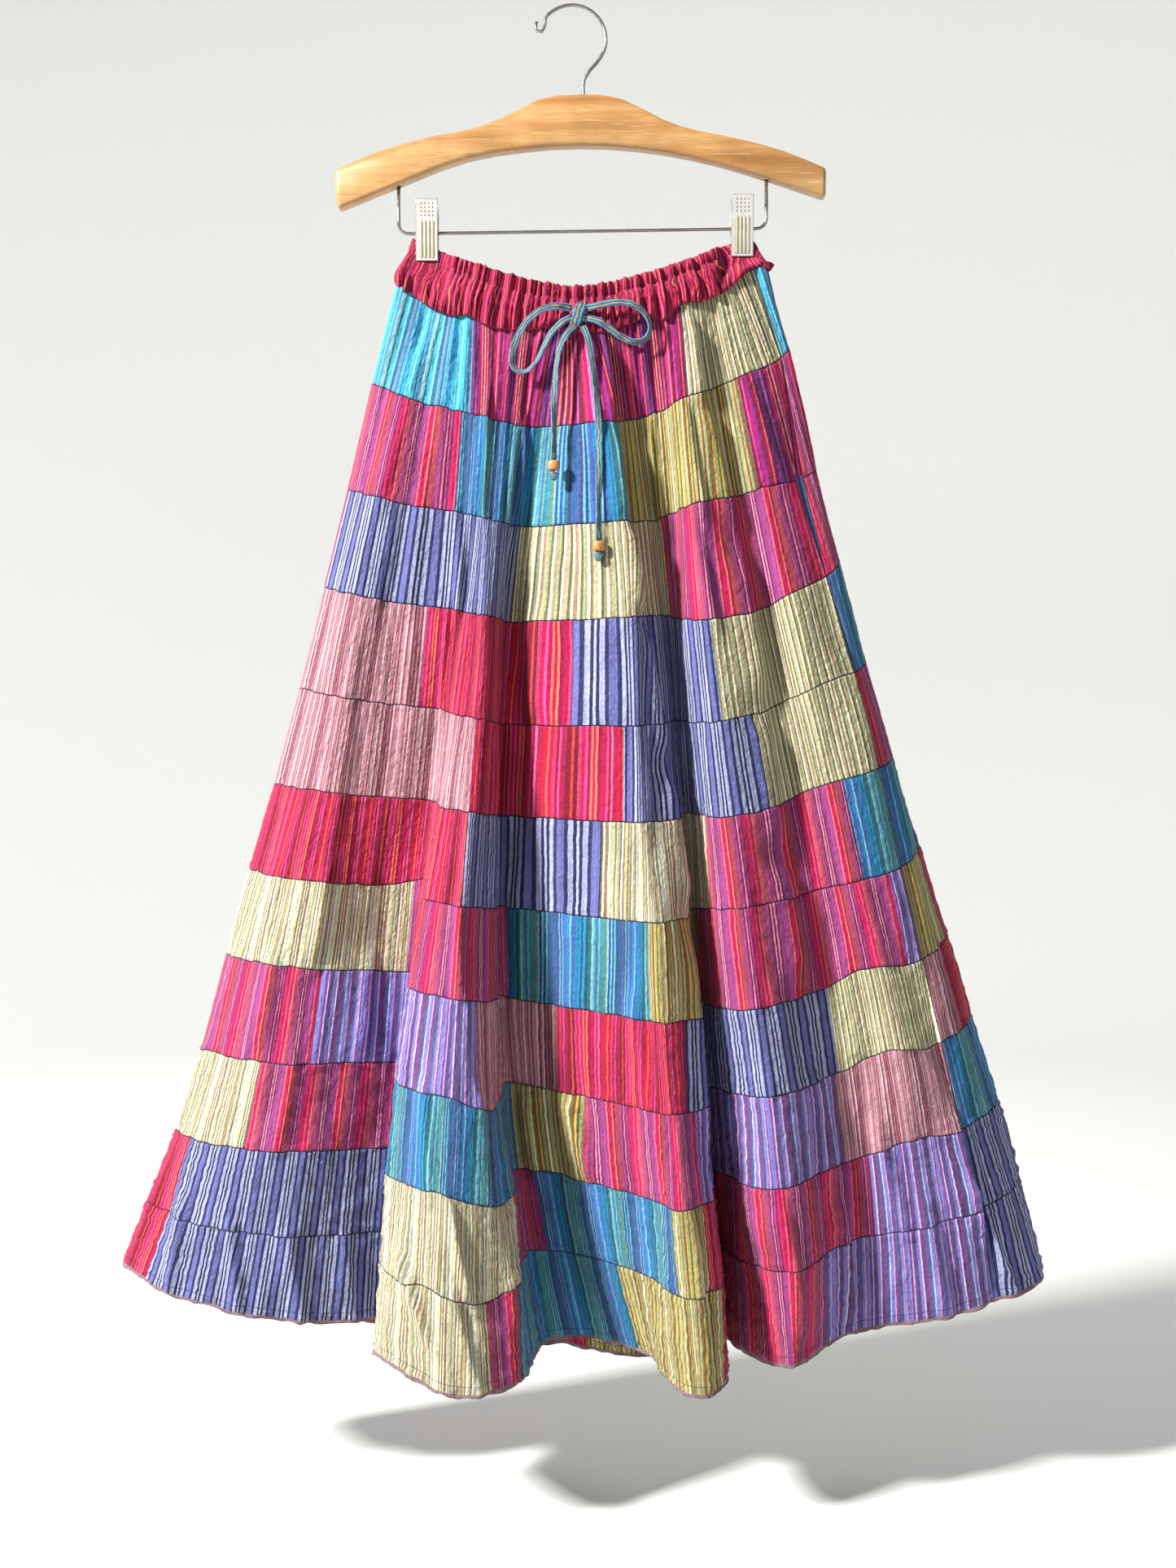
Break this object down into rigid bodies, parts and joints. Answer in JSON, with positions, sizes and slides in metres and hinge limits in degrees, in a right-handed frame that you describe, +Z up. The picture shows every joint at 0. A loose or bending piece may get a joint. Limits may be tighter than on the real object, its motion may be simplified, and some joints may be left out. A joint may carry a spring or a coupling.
{
  "type": "patchwork skirt on a clip hanger",
  "caption": "Long flared tiered patchwork skirt with a gathered drawstring waist, hung by two clips from a wooden hanger with a steel hook.",
  "frame": {"origin": "inside top of the hook, where the hanger hangs on a rail or a nail", "axes": "+Z up; -Y towards the skirt's front and the viewer; +X to the viewer's right along the hanger"},
  "size_m": [0.7857, 0.1854, 1.1623],
  "materials": {
    "hanger_wood": "glossy honey varnish with fine scratches",
    "steel_wire": "bright drawn wire",
    "clip_metal": "satin nickel plate, embossed",
    "brass": "satin",
    "waistband_cotton": "gathered striped cotton, wine",
    "patchwork_cotton": "washed striped cotton patches, matt",
    "facing_cotton": "washed striped cotton, blue",
    "drawstring_cotton": "flat tube of striped cotton",
    "bead_wood": "satin turned wood"
  },
  "bodies": {
    "root": {"clip_left_back": "clip_metal", "clip_left_front": "clip_metal", "clip_left_spring": "brass", "clip_right_back": "clip_metal", "clip_right_front": "clip_metal", "clip_right_spring": "brass", "drawstring_bead_left": "bead_wood", "drawstring_bead_right": "bead_wood", "drawstring_end_left": "drawstring_cotton", "drawstring_end_right": "drawstring_cotton", "drawstring_knot": "drawstring_cotton", "drawstring_loop_left": "drawstring_cotton", "drawstring_loop_right": "drawstring_cotton", "drawstring_tail_left": "drawstring_cotton", "drawstring_tail_right": "drawstring_cotton", "hanger_wood": "hanger_wood", "hook": "steel_wire", "pocket_facing": "facing_cotton", "tier_01_back": "patchwork_cotton", "tier_01_front": "patchwork_cotton", "tier_02_back": "patchwork_cotton", "tier_02_front": "patchwork_cotton", "tier_03_back": "patchwork_cotton", "tier_03_front": "patchwork_cotton", "tier_04_back": "patchwork_cotton", "tier_04_front": "patchwork_cotton", "tier_05_back": "patchwork_cotton", "tier_05_front": "patchwork_cotton", "tier_06_back": "patchwork_cotton", "tier_06_front": "patchwork_cotton", "tier_07_back": "patchwork_cotton", "tier_07_front": "patchwork_cotton", "tier_08_back": "patchwork_cotton", "tier_08_front": "patchwork_cotton", "tier_09_back": "patchwork_cotton", "tier_09_front": "patchwork_cotton", "tier_10_back": "patchwork_cotton", "tier_10_front": "patchwork_cotton", "tier_11_back": "patchwork_cotton", "tier_11_front": "patchwork_cotton", "waistband_back": "waistband_cotton", "waistband_front": "waistband_cotton", "wire_bar": "steel_wire"}
  },
  "joints": []
}
